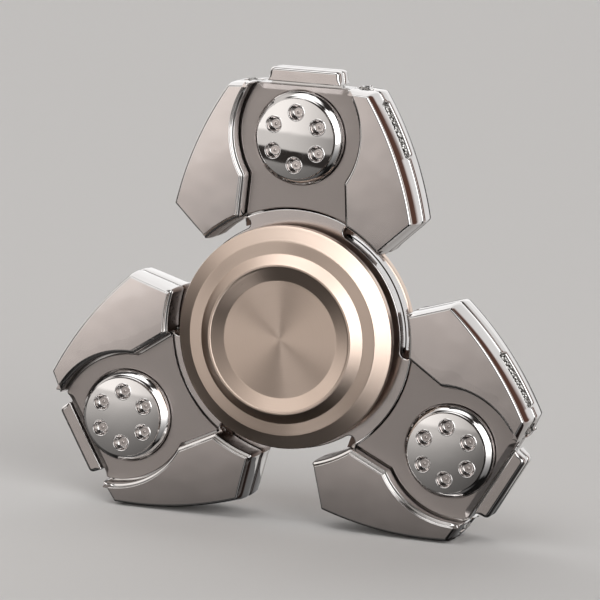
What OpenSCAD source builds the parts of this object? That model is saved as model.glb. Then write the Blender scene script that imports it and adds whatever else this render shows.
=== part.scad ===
// Three-arm metal fidget spinner, built as it comes apart on a bench.
// All sizes are in millimetres. Each piece is first drawn flat, with the spin axis along Z,
// its front face up and one arm along +Y. upright() then stands it up: the spin axis lies
// along world Y, the front faces -Y and one arm points straight up (+Z).
// The origin is the middle of the bearing.

/* [Arms] */
// distance from the spin axis to the centre of each round weight
arm_reach = 28; // [26:0.5:31]
// distance from the spin axis to the outermost tip
tip_reach = 37.6; // [36:0.1:40]
// radius of each arm's long curved side
side_arc_radius = 49.9; // [40:0.1:60]
// how far the side curve's centre lies across the arm's centre line
side_arc_across = 30.92; // [25:0.01:40]
// how far the side curve's centre lies out along the arm
side_arc_along = 7.39; // [5:0.01:12]
// outward lean of the cast side walls, from wing top to split line
side_draft = 0.1; // [0:0.05:0.5]
// chamfer round the top of each wing
wing_chamfer = 0.5; // [0.2:0.05:0.8]

/* [Levels] */
// height of the wing tops above the split line
wing_top = 4.6; // [4:0.1:5.5]
// height of the keyhole plate and collar faces above the split line
plate_top = 2.35; // [2:0.05:3]
// height of the shell floor that the plate lies on
floor_top = 1.5; // [1.2:0.05:1.8]
// half the thickness of the middle frame
core_half = 1; // [0.4:0.05:1.1]
// half the height of the window slots in the side walls
slot_half = 1.3; // [0.3:0.05:1.35]
// half the height of the small slots in the tip walls
tip_slot_half = 0.8; // [0.3:0.05:1]
// height of the collar's lower face above the split line
collar_low = 0.9; // [0.3:0.05:1.2]

/* [Keyhole plates] */
// radius of the two side arcs of the keyhole's round end
lobe_radius = 11.1; // [10:0.1:13]
// distance of each side arc's centre beyond the arm's middle line
lobe_across = 2.2; // [0:0.1:4]
// distance of the side arcs' centres from the spin axis
lobe_along = 28.6; // [27:0.1:30]
// half width of the waist, where the round end meets the neck
waist_half = 7.05; // [6.5:0.05:8]
// half width of the neck at the hub end
neck_half = 7.5; // [7:0.1:9]
// half width of the straight outer end
tip_half = 6.6; // [6:0.1:7.5]
// distance from the spin axis to the plate's straight outer end
plate_end = 35.2; // [34:0.1:36]
// radius of the plate's hub end, and of the wings' inner ends
wing_inner_radius = 18; // [17.5:0.1:19]
// fine gap round each plate
plate_gap = 0.3; // [0.1:0.05:0.5]

/* [Tip lugs] */
// half width of a lug at its foot
lug_half = 5.4; // [4:0.1:6]
// distance from the spin axis to the lug's inner face
lug_start = 35.6; // [35.5:0.05:36.5]
// height of a lug's face above the split line
lug_top = 2.0; // [1:0.05:2.3]

/* [Hub collar] */
// outside radius of the collar
collar_radius = 16.2; // [15.5:0.1:17]
// outside radius of the boss hidden under the cap
boss_radius = 13; // [12:0.1:14]
// height of that boss above the split line
boss_top = 3.4; // [3:0.05:3.5]
// half width across an arm where the curved slits stop
slit_stop = 7.6; // [7:0.1:9]

/* [Round weights] */
// flange radius of a round weight
weight_radius = 6.6; // [6:0.1:7]
// radius of its body through the plate and shells
weight_body = 5.2; // [4.5:0.1:5.6]
// radius of its domed face
dome_radius = 5.75; // [5:0.05:6]
// height of the dome's middle above the split line
dome_top = 4.75; // [4.5:0.05:5.2]
// radius of the circle of six dimples
dimple_circle = 3.71; // [3:0.05:4]
// radius of one dimple
dimple_radius = 1.05; // [0.8:0.05:1.3]
// thread radius of the stud that joins two weights
stud_radius = 2.5; // [2:0.1:3]

/* [Caps] */
// outside radius of a cap
cap_radius = 15.8; // [15:0.1:17]
// radius where the outer bevel ends
cap_bevel_radius = 13.8; // [13:0.1:14.5]
// radius where the flat ring ends and the rim bevel begins
cap_ring_radius = 12; // [11.5:0.1:12.5]
// radius of the rim's flat crest
cap_rim_radius = 10.6; // [10:0.1:11]
// radius of the dished middle
cap_dish_radius = 8.4; // [8:0.1:9]
// height of the cap's underside
cap_under = 3.85; // [3.7:0.05:4]
// height of the rim's crest
cap_rim_top = 7.7; // [7:0.1:8.5]

/* [Bearing] */
// bore radius of the ball bearing
bearing_bore = 4; // [4:1:4]
// outside radius of the ball bearing
bearing_outside = 11; // [11:1:11]
// half the width of the ball bearing
bearing_half = 3.5; // [3.5:0.5:3.5]
// radius of one ball
ball_radius = 1.984; // [1.98:0.001:1.99]
// number of balls
ball_count = 7; // [7:1:7]

/* [Hidden] */
$fn = 96;
arms = 3;
arm_turn = 360 / arms;
rim_wall = 1.2;
pitch_radius = (bearing_bore + bearing_outside) / 2;
race_radius = ball_radius + 0.066;
inner_shoulder = 6.05;
outer_shoulder = 8.95;
shield_seat = 9.6;
shield_low = 2.7;
shield_high = 3.0;
post_radius = bearing_bore - 0.02;
cap_stud_radius = 2;
cap_ring_top = 6.5;
cap_edge_top = 5.3;
cap_dish_top = 7.2;
// corners of the straight edges at the tip and beside the hub
tip_corner = [10.25, 35.15];
tip_shoulder = [6.7, 35.45];
side_corner = [17.96, 17.3];
inner_corner = [12.95, 12.6];

// which piece to show

// ---- placing ----

// stands a flat-drawn piece up, front face towards -Y
module upright() { rotate([90, 0, 0]) children(); }

// turns a front piece over to the rear
module to_rear() { rotate([0, 180, 0]) children(); }

// puts a piece drawn on the top arm onto arm 0 (top), 1 (left) or 2 (right)
module on_arm(k) { rotate([0, 0, k * arm_turn]) children(); }

module on_all_arms() { for (k = [0 : arms - 1]) on_arm(k) children(); }

module disc(r, z0, z1) { translate([0, 0, z0]) cylinder(r = r, h = z1 - z0); }

module ring(r_out, r_in, z0, z1) {
  difference() {
    disc(r_out, z0, z1);
    disc(r_in, z0 - 1, z1 + 1);
  }
}

// ---- arm shapes, drawn on the top arm ----

// solid arm blank between two levels; grow moves its whole edge outwards
module arm_blank(z0, z1, grow = 0, draft = 0) {
  side_bottom = side_arc_radius + grow + draft;
  side_top = side_arc_radius + grow;
  intersection() {
    translate([-side_arc_across, side_arc_along, z0])
      cylinder(r1 = side_bottom, r2 = side_top, h = z1 - z0);
    translate([side_arc_across, side_arc_along, z0])
      cylinder(r1 = side_bottom, r2 = side_top, h = z1 - z0);
    translate([0, 0, z0]) linear_extrude(height = z1 - z0) arm_bounds(grow);
  }
}

// straight-edged limits of an arm: tip end, shoulders and the edges beside the hub
module arm_bounds(grow) {
  g = grow;
  polygon([
    [0, 6], [inner_corner[0] + g, inner_corner[1] - g * 0.4],
    [side_corner[0] + 3 + g, side_corner[1] + 2.8 - g * 0.4], [25, 26], [18, 34],
    [tip_corner[0] + g + 0.6, tip_corner[1] - 0.55 + g], [tip_corner[0] + g * 0.6, tip_corner[1] + g],
    [tip_shoulder[0], tip_shoulder[1] + g], [-tip_shoulder[0], tip_shoulder[1] + g],
    [-tip_corner[0] - g * 0.6, tip_corner[1] + g], [-tip_corner[0] - g - 0.6, tip_corner[1] - 0.55 + g],
    [-18, 34], [-25, 26], [-side_corner[0] - 3 - g, side_corner[1] + 2.8 - g * 0.4],
    [-inner_corner[0] - g, inner_corner[1] - g * 0.4]
  ]);
}

// the keyhole: a round end round the weight, a neck, and a straight outer end
module keyhole(z0, z1, gap = 0) {
  intersection() {
    union() {
      intersection() {
        translate([-lobe_across, lobe_along, z0]) cylinder(r = lobe_radius + gap, h = z1 - z0);
        translate([lobe_across, lobe_along, z0]) cylinder(r = lobe_radius + gap, h = z1 - z0);
      }
      translate([0, 0, z0]) linear_extrude(height = z1 - z0)
        polygon([[-neck_half - gap, 12], [neck_half + gap, 12], [neck_half + gap, 16.4],
          [waist_half + gap, 22.4], [waist_half + gap - 0.25, 23], [0.25 - waist_half - gap, 23],
          [-waist_half - gap, 22.4], [-neck_half - gap, 16.4]]);
    }
    translate([-30, 0, z0]) cube([60, plate_end + gap, z1 - z0]);
  }
}

// one keyhole plate lying in its recess, with the hole for the round weight
module plate() {
  difference() {
    keyhole(floor_top, plate_top);
    disc(wing_inner_radius, 0, wing_top);
    translate([0, arm_reach, 0]) disc(weight_radius + 0.05, 0, wing_top);
  }
}

// ---- castings ----

// both wings of one arm, with leaning walls and a chamfered top edge
module wings() {
  difference() {
    union() {
      arm_blank(0, wing_top - wing_chamfer, 0, side_draft);
      arm_blank(wing_top - wing_chamfer, wing_top, -wing_chamfer, wing_chamfer);
    }
    keyhole(floor_top, wing_top + 1, plate_gap);
    disc(wing_inner_radius, -1, wing_top + 1);
  }
}

// the neck that carries the arm from the collar, and the tip lug beyond the plate
module neck_and_lug() {
  intersection() {
    ring(wing_inner_radius + 0.5, boss_radius, 0, floor_top);
    translate([-slit_stop, 10, 0]) cube([2 * slit_stop, 10, floor_top]);
  }
  linear_extrude(height = floor_top - 0.7)
    polygon([[-tip_half, 34], [tip_half, 34], [lug_half, lug_start + 0.2], [-lug_half, lug_start + 0.2]]);
  linear_extrude(height = lug_top)
    polygon([[-lug_half, lug_start], [lug_half, lug_start], [lug_half - 0.2, tip_reach - 0.6],
      [lug_half - 0.7, tip_reach], [0.7 - lug_half, tip_reach], [0.2 - lug_half, tip_reach - 0.6]]);
}

// collar face: a disc trimmed back between the necks
module collar() {
  difference() {
    disc(wing_inner_radius - plate_gap, collar_low, plate_top);
    difference() {
      ring(wing_inner_radius + 1, collar_radius, 0, plate_top + 1);
      on_all_arms() translate([-slit_stop, 10, -1]) cube([2 * slit_stop, 12, plate_top + 3]);
    }
  }
}

// one half of the body: three arms, the collar and the boss that seats the bearing
module shell() {
  difference() {
    union() {
      on_all_arms() { wings(); neck_and_lug(); }
      collar();
      disc(boss_radius, 0, boss_top);
    }
    disc(bearing_outside, -1, wing_top);
    core_blank(0.05, -1, core_half);
    on_all_arms() {
      translate([0, arm_reach, 0]) disc(weight_body + 0.05, -1, wing_top);
      side_windows();
    }
  }
}

// window slots through the rim wall on both sides of an arm
module side_windows() {
  for (s = [-1, 1]) intersection() {
    translate([s > 0 ? 8 : -22, 26.2, -1]) cube([14, 7.6, 1 + slot_half]);
    difference() {
      translate([-s * side_arc_across, side_arc_along, -1]) cylinder(r = side_arc_radius + 1, h = 3);
      translate([-s * side_arc_across, side_arc_along, -2]) cylinder(r = side_arc_radius - rim_wall - 0.3, h = 5);
    }
  }
  for (s = [-1, 1]) translate([s * 8.2 - 1.2, plate_end - 1.6, -1]) cube([2.4, 3, 1 + tip_slot_half]);
}

// outline of the middle frame between two levels
module core_blank(gap, z0, z1) {
  on_all_arms() difference() {
    arm_blank(z0, z1, gap - rim_wall, 0);
    disc(wing_inner_radius + rim_wall - gap, z0 - 1, z1 + 1);
  }
  on_all_arms() translate([-slit_stop + 1 - gap, 9, z0])
    cube([2 * (slit_stop - 1 + gap), 12, z1 - z0]);
  disc(14.2 + gap, z0, z1);
}

// rough middle frame: spaces the shells and helps seat the bearing
module core_frame() {
  difference() {
    core_blank(0, -core_half, core_half);
    disc(bearing_outside, -2, 2);
    on_all_arms() translate([0, arm_reach, 0]) disc(weight_body + 0.05, -2, 2);
  }
}

// ---- round weights ----

module weight(with_stud) {
  difference() {
    union() {
      rotate_extrude() polygon([
        [0, 0.02], [weight_body, 0.02], [weight_body, floor_top], [weight_radius, floor_top],
        [weight_radius, plate_top + 0.15], [weight_radius - 0.25, plate_top + 0.9],
        [dome_radius + 0.15, wing_top - 0.45], [dome_radius, wing_top - 0.2],
        [dome_radius - 0.3, wing_top - 0.05], [3.9, dome_top - 0.08], [2, dome_top - 0.02], [0, dome_top]]);
      if (with_stud) disc(stud_radius - 0.02, -2.6, 1);
    }
    for (i = [0 : 5]) rotate([0, 0, i * 60 + 90]) translate([dimple_circle, 0, dome_top + 0.35])
      sphere(r = sqrt(dimple_radius * dimple_radius + 0.16) + 0.02);
    if (!with_stud) disc(stud_radius, -1, 2.8);
  }
}

// ---- caps ----

module cap() {
  difference() {
    rotate_extrude() polygon([
      [0, cap_dish_top], [cap_dish_radius, cap_dish_top], [cap_rim_radius - 0.4, cap_rim_top],
      [cap_rim_radius, cap_rim_top], [cap_ring_radius, cap_ring_top],
      [cap_bevel_radius, cap_ring_top], [cap_radius, cap_edge_top],
      [cap_radius, cap_under + 0.2], [cap_radius - 0.2, cap_under], [5.6, cap_under],
      [5.6, bearing_half], [post_radius, bearing_half], [post_radius, 0.1], [0, 0.1]]);
    disc(cap_stud_radius, -1, 5.4);
  }
}

// threaded stud that draws the two caps together through the bearing
module cap_stud() { disc(cap_stud_radius - 0.02, -5.2, 5.2); }

// ---- bearing ----

module race_cut() {
  rotate_extrude() translate([pitch_radius, 0]) circle(r = race_radius, $fn = 48);
}

module bearing_outer_ring() {
  difference() {
    disc(bearing_outside, -bearing_half, bearing_half);
    disc(outer_shoulder, -5, 5);
    disc(shield_seat, shield_low, 5);
    disc(shield_seat, -5, -shield_low);
    race_cut();
  }
}

module bearing_inner_ring() {
  difference() {
    disc(inner_shoulder, -bearing_half, bearing_half);
    disc(bearing_bore, -5, 5);
    race_cut();
  }
}

module bearing_shield() { ring(shield_seat, inner_shoulder + 0.15, shield_low, shield_high); }

module ball_centre(i) {
  rotate([0, 0, 90 + i * 360 / ball_count]) translate([pitch_radius, 0, 0]) children();
}

module ball(i) { ball_centre(i) sphere(r = ball_radius, $fn = 48); }

module bearing_cage() {
  difference() {
    ring(pitch_radius + 0.55, pitch_radius - 0.55, -2.4, 2.4);
    for (i = [1 : ball_count]) ball_centre(i) rotate([0, 90, 0])
      cylinder(r = ball_radius + 0.08, h = 3, center = true, $fn = 48);
  }
}

// ---- finished pieces ----

module front_shell() { color([0.72, 0.69, 0.67]) upright() shell(); }
module rear_shell() { color([0.66, 0.64, 0.62]) upright() to_rear() shell(); }
module middle_frame() { color([0.35, 0.34, 0.33]) upright() core_frame(); }
module front_plate(k) { color([0.54, 0.51, 0.5]) upright() on_arm(k) plate(); }
module rear_plate(k) { color([0.54, 0.51, 0.5]) upright() on_arm(k) to_rear() plate(); }
module front_weight(k) { color([0.82, 0.8, 0.78]) upright() on_arm(k) translate([0, arm_reach, 0]) weight(false); }
module rear_weight(k) {
  color([0.82, 0.8, 0.78]) upright() on_arm(k) translate([0, arm_reach, 0]) to_rear() weight(true);
}
module front_cap() { color([0.75, 0.68, 0.62]) upright() cap(); }
module rear_cap() { color([0.75, 0.68, 0.62]) upright() to_rear() cap(); }
module steel() { color([0.6, 0.61, 0.63]) upright() children(); }

front_shell();
rear_shell();
middle_frame();  // core_frame
front_plate(0);  // front_plate_top
front_plate(1);  // front_plate_left
front_plate(2);  // front_plate_right
rear_plate(0);  // rear_plate_top
rear_plate(1);  // rear_plate_left
rear_plate(2);  // rear_plate_right
front_weight(0);  // front_weight_top
front_weight(1);  // front_weight_left
front_weight(2);  // front_weight_right
rear_weight(0);  // rear_weight_top
rear_weight(1);  // rear_weight_left
rear_weight(2);  // rear_weight_right
steel() bearing_outer_ring();
steel() bearing_inner_ring();
steel() bearing_shield();  // bearing_front_shield
steel() to_rear() bearing_shield();  // bearing_rear_shield
steel() bearing_cage();
steel() ball(1);  // ball_1
steel() ball(2);  // ball_2
steel() ball(3);  // ball_3
steel() ball(4);  // ball_4
steel() ball(5);  // ball_5
steel() ball(6);  // ball_6
steel() ball(7);  // ball_7
front_cap();
rear_cap();
steel() cap_stud();
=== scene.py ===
# %% [markdown]
# # A three-arm metal spinner
# The finished thing is a palm-sized spinner: two polished castings clamped round a middle frame,
# three round weights, and a pair of turned caps that the fingers hold. The exact parts come from
# the packed model; this lesson gives them the surfaces that light needs. All pieces are drawn
# flat first, with the spin axis pointing up, because that is how a turner and a pattern maker
# think of them, and one small function stands them up at the end.

# %% Load the packed parts
import bpy
import math
import numpy as np
from mathutils import Matrix, Vector
from mathutils.geometry import delaunay_2d_cdt
from mathutils import noise as cast_noise


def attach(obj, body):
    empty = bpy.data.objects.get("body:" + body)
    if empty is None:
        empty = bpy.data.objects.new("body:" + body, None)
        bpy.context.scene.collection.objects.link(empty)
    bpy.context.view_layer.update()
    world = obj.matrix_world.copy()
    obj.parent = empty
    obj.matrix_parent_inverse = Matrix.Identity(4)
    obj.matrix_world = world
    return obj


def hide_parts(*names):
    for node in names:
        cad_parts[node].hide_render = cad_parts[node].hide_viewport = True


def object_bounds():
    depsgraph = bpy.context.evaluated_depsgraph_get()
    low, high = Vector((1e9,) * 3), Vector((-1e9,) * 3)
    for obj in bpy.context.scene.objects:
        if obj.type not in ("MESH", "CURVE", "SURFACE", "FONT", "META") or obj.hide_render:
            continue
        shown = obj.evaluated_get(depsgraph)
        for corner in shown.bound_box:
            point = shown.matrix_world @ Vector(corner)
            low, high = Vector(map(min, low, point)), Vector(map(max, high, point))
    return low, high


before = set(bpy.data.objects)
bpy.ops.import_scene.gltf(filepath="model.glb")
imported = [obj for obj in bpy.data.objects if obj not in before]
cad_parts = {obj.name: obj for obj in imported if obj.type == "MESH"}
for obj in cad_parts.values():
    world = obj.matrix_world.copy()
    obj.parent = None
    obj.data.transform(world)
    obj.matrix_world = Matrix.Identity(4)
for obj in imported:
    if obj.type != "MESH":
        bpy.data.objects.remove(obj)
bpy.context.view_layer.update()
print("parts:", len(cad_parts))

# %% [markdown]
# ## Standing a flat drawing up
# A flat drawing has x to the right, y up an arm and z out of the front face, all in millimetres.
# In the room the front face looks towards -Y and the arm points up Z, so (x, y, z) becomes
# (x, -z, y) in metres. Arms are 120 degrees apart, and the rear of the spinner is the front
# turned over about the upright arm, so every shape is drawn once and placed by a 3 x 3 turn.

# %% Turning and standing up
STAND = np.array([[1, 0, 0], [0, 0, -1], [0, 1, 0]], float)
TURN_OVER = np.diag([-1.0, 1.0, -1.0])
MIRROR = np.diag([-1.0, 1.0, 1.0])


def arm_turn(k):
    a = math.radians(120 * k)
    return np.array([[math.cos(a), -math.sin(a), 0], [math.sin(a), math.cos(a), 0], [0, 0, 1]])


SIDES = {"front": np.eye(3), "rear": TURN_OVER}
ARMS = {"top": 0, "left": 1, "right": 2}
print("an upright drawing's Y becomes", STAND @ np.array([0, 1, 0]))

# %% [markdown]
# ## The sizes that the spinner is drawn from
# These are the driving sizes of the exact parts, in millimetres, so that a drawn surface lies on
# the part that it stands for. Heights are above the split line between the two castings.

# %% Driving sizes
ARM_REACH = 28.0  # from the spin axis to the middle of a weight
TIP_REACH = 37.6  # from the spin axis to the outside of a lug
SIDE_ARC = (-30.92, 7.39, 49.9)  # centre and radius of a wing's long outer side
SIDE_CORNER = (17.96, 17.3)  # where that side starts, near the hub
TIP_CORNER = (10.51, 35.15)  # and where it ends, near the tip
WING_EDGE = 4.5  # height of a wing's face
PLATE_TOP = 2.35  # height of a plate's face
FLOOR_TOP = 1.45  # height of the floor under a plate
LOBE_SIDE = (2.2, 28.6, 11.1)  # one side of the keyhole's round end: offset, centre, radius
GAP = 0.3  # between a plate and the wings
WAIST = (7.05, 22.42)  # the plate's kink
NECK = (7.5, 16.4)  # the plate's corner at the hub
PLATE_END = 35.2
WING_INNER = 18.0  # radius of the wings' ends at the hub
COLLAR = 16.2  # radius of the collar
SLIT_END = 6.9  # where the slit beside a wing ends, to the side of the arm's middle
print("front half is", WING_EDGE, "mm thick at a wing's edge")

# %% [markdown]
# ## A surface that carries its own normals
# Mirror-bright metal shows every dent in its shading, so each surface is kept as a sheet of
# points with the true direction of the metal beside each point. Sheets meet edge to edge without
# sharing points where the real metal has a crisp corner, and share them where it is rounded.
# The Piece class collects sheets and writes one mesh with those normals at the end.


# %% The Piece class
class Piece:
    def __init__(self, name):
        self.name, self.count = name, 0
        self.points, self.normals, self.faces, self.finish_of_face = [], [], [], []

    def add(self, points, normals, faces, finish=0):
        points, normals = np.asarray(points, float), np.asarray(normals, float)
        self.faces += [tuple(i + self.count for i in f) for f in faces]
        self.finish_of_face += [finish] * len(faces)
        self.points.append(points)
        self.normals.append(normals)
        self.count += len(points)

    def refinish(self, finish, chosen):
        """Gives a finish to every face whose middle the chosen(x, y, z) test accepts."""
        points = np.vstack(self.points)
        for i, f in enumerate(self.faces):
            if chosen(*points[list(f)].mean(0)):
                self.finish_of_face[i] = finish

    def placed(self, other, turn, shift=(0, 0, 0)):
        """Adds another piece's sheets, shifted and turned; a mirror turns its faces round."""
        p = (np.vstack(other.points) + np.array(shift)) @ turn.T
        m = np.vstack(other.normals) @ turn.T
        flip = np.linalg.det(turn) < 0
        faces = [f[::-1] if flip else f for f in other.faces]
        start = len(self.finish_of_face)
        self.add(p, m, faces)
        self.finish_of_face[start:] = list(other.finish_of_face)

    def make(self, body, materials, slot, *nodes):
        """Stands the piece up, builds its mesh, hides the exact parts that it stands for and hangs it on its
        body.
        """
        p = np.vstack(self.points) @ STAND.T * 0.001
        m = np.vstack(self.normals) @ STAND.T
        m /= np.maximum(np.linalg.norm(m, axis=1, keepdims=True), 1e-9)
        mesh = bpy.data.meshes.new(self.name)
        mesh.from_pydata(p.tolist(), [], self.faces)
        for material in materials:
            mesh.materials.append(material)
        mesh.polygons.foreach_set("material_index", self.finish_of_face)
        mesh.polygons.foreach_set("use_smooth", [True] * len(self.faces))
        mesh.update()
        mesh.normals_split_custom_set_from_vertices(m.tolist())
        thing = bpy.data.objects.new(self.name, mesh)
        bpy.context.scene.collection.objects.link(thing)
        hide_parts(*nodes)
        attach(thing, body)
        print(f"{self.name}: {len(p)} points, {len(self.faces)} faces")


print("a piece starts with", len(Piece("test").faces), "faces")

# %% [markdown]
# ## Sheets made from rows of points
# Walls, rounded edges and turned surfaces are all rows of points: each row is the same outline at
# another height and inset. The direction of the metal at a point is the cross product of the way
# along the row and the way down the rows, which stays smooth because both are taken across the
# neighbours on each side.


# %% Rows into a sheet
def sheet(rows, flip=False):
    """Points, normals and faces of closed rows; the outside is on the right going along a row."""
    rows = np.asarray(rows, float)
    k, n, _ = rows.shape
    along = np.roll(rows, -1, 1) - np.roll(rows, 1, 1)
    down = np.gradient(rows, axis=0)
    m = np.cross(along, down) * (1 if flip else -1)
    m /= np.maximum(np.linalg.norm(m, axis=2, keepdims=True), 1e-12)
    faces = []
    for i in range(k - 1):
        for j in range(n):
            a, b = i * n + j, i * n + (j + 1) % n
            quad = (a, a + n, b + n, b)
            faces.append(quad[::-1] if flip else quad)
    return rows.reshape(-1, 3), m.reshape(-1, 3), faces


def turned(profile, count=192, flip=False):
    """A lathe-turned sheet from (radius, height) points going outwards along the surface."""
    a = np.linspace(0, 2 * math.pi, count, endpoint=False)
    rows = [[(r * math.cos(t), r * math.sin(t), z) for t in a] for r, z in profile]
    return sheet(rows, flip)


def shifted(made, x, y, z=0.0):
    """A sheet moved sideways and up."""
    points, normals, faces = made
    return points + np.array([x, y, z]), normals, faces


def eased(profile, radius, steps=4):
    """Rounds each inner corner of an open profile by cutting back at most radius along each side."""
    p = [np.array(q, float) for q in profile]
    out = [p[0]]
    for i in range(1, len(p) - 1):
        a, b, c = p[i - 1], p[i], p[i + 1]
        la, lc = np.linalg.norm(a - b), np.linalg.norm(c - b)
        cut = min(radius, la * 0.45, lc * 0.45)
        s, e = b + (a - b) / la * cut, b + (c - b) / lc * cut
        for t in np.linspace(0, 1, steps + 1):
            out.append((1 - t) ** 2 * s + 2 * t * (1 - t) * b + t * t * e)
    out.append(p[-1])
    return np.array(out)


print("a test ring has", len(turned([(1, 0), (2, 0)])[2]), "faces")

# %% [markdown]
# ## Faces with holes, filled with small triangles
# A wing's face or a weight's dome is a gentle hill bounded by one or more outlines. The outlines
# and a fine honeycomb of points between them are joined by a constrained triangulation, then each
# point is lifted onto the hill. The hill's formula gives the exact slope at every point, so the
# reflection runs smoothly over the triangles.


# %% Which points lie in an outline, and how far from it
def inside(points, loop):
    """Counts how often a line going right from each point crosses the outline."""
    x, y = points[:, 0], points[:, 1]
    hit = np.zeros(len(points), bool)
    for (x0, y0), (x1, y1) in zip(loop, np.roll(loop, -1, 0)):
        if y0 == y1:
            continue
        hit ^= ((y0 > y) != (y1 > y)) & (x < (x1 - x0) * (y - y0) / (y1 - y0) + x0)
    return hit


def distance_to(points, loop):
    best = np.full(len(points), np.inf)
    for p, q in zip(loop, np.roll(loop, -1, 0)):
        d = q - p
        t = np.clip(((points - p) @ d) / max(d @ d, 1e-12), 0, 1)
        best = np.minimum(best, np.linalg.norm(points - (p + t[:, None] * d), axis=1))
    return best


square = np.array([(0, 0), (2, 0), (2, 2), (0, 2)], float)
print("the middle of a 2 mm square is", distance_to(np.array([[1.0, 1.0]]), square)[0], "mm from its edge")


# %% Filling a face
ROW_STEP = 0.866
CLEAR_OF_EDGE = 0.55
SLOPE_STEP = 1e-3


def honeycomb(outer, holes, spacing):
    """Even points inside the outer outline and outside the holes, none of them close to an edge."""
    lo, hi = outer.min(0), outer.max(0)
    across = np.arange(lo[0], hi[0], spacing)
    along = np.arange(lo[1], hi[1], spacing * ROW_STEP)
    grid = np.array([(x + (spacing / 2 if j % 2 else 0), y) for j, y in enumerate(along) for x in across])
    keep = inside(grid, outer) & (distance_to(grid, outer) > spacing * CLEAR_OF_EDGE)
    for hole in holes:
        keep &= ~inside(grid, hole) & (distance_to(grid, hole) > spacing * CLEAR_OF_EDGE)
    return grid[keep]


def hill_normals(hill, x, y):
    """Unit normals of the hill from its slope each way."""
    h = SLOPE_STEP
    m = np.stack([(hill(x - h, y) - hill(x + h, y)) / (2 * h),
                  (hill(x, y - h) - hill(x, y + h)) / (2 * h), np.ones(len(x))], 1)
    return m / np.linalg.norm(m, axis=1, keepdims=True)


def filled(loops, hill, spacing):
    """Sheet inside the first loop and outside the others; hill(x, y) is its height."""
    outer = loops[0]
    grid = honeycomb(outer, loops[1:], spacing)
    edges, count = [], 0
    for loop in loops:
        n = len(loop)
        edges += [(count + i, count + (i + 1) % n) for i in range(n)]
        count += n
    flat = np.vstack(list(loops) + [grid])
    out = delaunay_2d_cdt([Vector(p) for p in flat], edges, [], 0, 1e-7)
    pts = np.array([(v.x, v.y) for v in out[0]])
    tris = np.array([f for f in out[2] if len(f) == 3])
    mid = pts[tris].mean(1)
    good = inside(mid, outer)
    for hole in loops[1:]:
        good &= ~inside(mid, hole)
    tris = tris[good]
    a, b, c = pts[tris[:, 0]], pts[tris[:, 1]], pts[tris[:, 2]]
    area = (b[:, 0] - a[:, 0]) * (c[:, 1] - a[:, 1]) - (b[:, 1] - a[:, 1]) * (c[:, 0] - a[:, 0])
    tris[area < 0] = tris[area < 0][:, ::-1]
    x, y = pts[:, 0], pts[:, 1]
    return np.column_stack([pts, hill(x, y)]), hill_normals(hill, x, y), [tuple(t) for t in tris.tolist()]


def level(z):
    """A hill that is flat."""
    return lambda x, y: np.full(np.shape(x), float(z))


print("a filled square has", len(filled([square], level(0), 0.5)[2]), "triangles")

# %% [markdown]
# ## Drawing outlines
# Every casting outline here is made of straight lines and arcs, as on a workshop drawing. They are
# joined into one closed run of evenly spaced points, and a short stretch at each corner is eased so
# that the walls don't have knife edges.


# %% Lines, arcs and directions
def line(p, q):
    return np.array([p, q], float)


def arc(centre, radius, start, end, steps=48):
    a = np.radians(np.linspace(start, end, steps))
    return np.stack([centre[0] + radius * np.cos(a), centre[1] + radius * np.sin(a)], 1)


def mirrored(run):
    """The same run on the other side of the arm, drawn the other way."""
    return run[::-1] * np.array([-1, 1])


def direction(point, centre=(0, 0)):
    """Direction from a centre to a point, in degrees."""
    return math.degrees(math.atan2(point[1] - centre[1], point[0] - centre[0]))


print("an arm points at", direction((0, ARM_REACH)), "degrees")


# %% Joining outlines and easing corners
FINE_STEP = 0.05


def joined(parts, spacing, corners=()):
    """One closed outline of even points; corners lists (point, reach) where it is eased."""
    run = np.vstack(parts)
    run = run[np.linalg.norm(run - np.roll(run, 1, 0), axis=1) > 1e-6]
    for point, reach in corners:
        run = ease_corner(run, np.array(point, float), reach)
    return evenly(run, spacing)


def evenly(run, spacing):
    """The same closed outline with its points evenly apart."""
    loop = np.vstack([run, run[:1]])
    step = np.linalg.norm(np.diff(loop, axis=0), axis=1)
    s = np.concatenate([[0], np.cumsum(step)])
    n = max(8, int(round(s[-1] / spacing)))
    t = np.linspace(0, s[-1], n, endpoint=False)
    return np.stack([np.interp(t, s, loop[:, 0]), np.interp(t, s, loop[:, 1])], 1)


def ease_corner(run, point, reach):
    """Replaces the stretch within reach of a corner by a smooth curve."""
    fine = evenly(run, FINE_STEP)
    i = int(np.argmin(np.linalg.norm(fine - point, axis=1)))
    fine = np.roll(fine, len(fine) // 2 - i, 0)
    i = len(fine) // 2
    k = max(2, int(round(reach / FINE_STEP)))
    a, b, c = fine[i - k], fine[i], fine[i + k]
    t = np.linspace(0, 1, 2 * k + 1)[:, None]
    curve = (1 - t) ** 2 * a + 2 * t * (1 - t) * b + t * t * c
    return np.vstack([fine[: i - k], curve, fine[i + k + 1 :]])


def outward(loop):
    """Unit normals of a closed outline that runs anticlockwise."""
    d = np.roll(loop, -1, 0) - np.roll(loop, 1, 0)
    n = np.stack([d[:, 1], -d[:, 0]], 1)
    return n / np.maximum(np.linalg.norm(n, axis=1, keepdims=True), 1e-9)


def softly(values, reach):
    """A value for each point of a closed run, blurred along it."""
    k = np.hanning(2 * reach + 3)
    k /= k.sum()
    v = np.concatenate([values[-reach - 1 :], values, values[: reach + 1]])
    return np.convolve(v, k, "valid")


print("a 2 mm square at 0.5 mm has", len(joined([square], 0.5)), "points")

# %% [markdown]
# ## Wiring nodes
# Metals and lights are both painted with node trees. A handful of node kinds is enough: a sum, a
# range carried over onto another range, a blend of two colours. This small class adds them, so
# that each finish and each light further down reads as a recipe.


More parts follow.
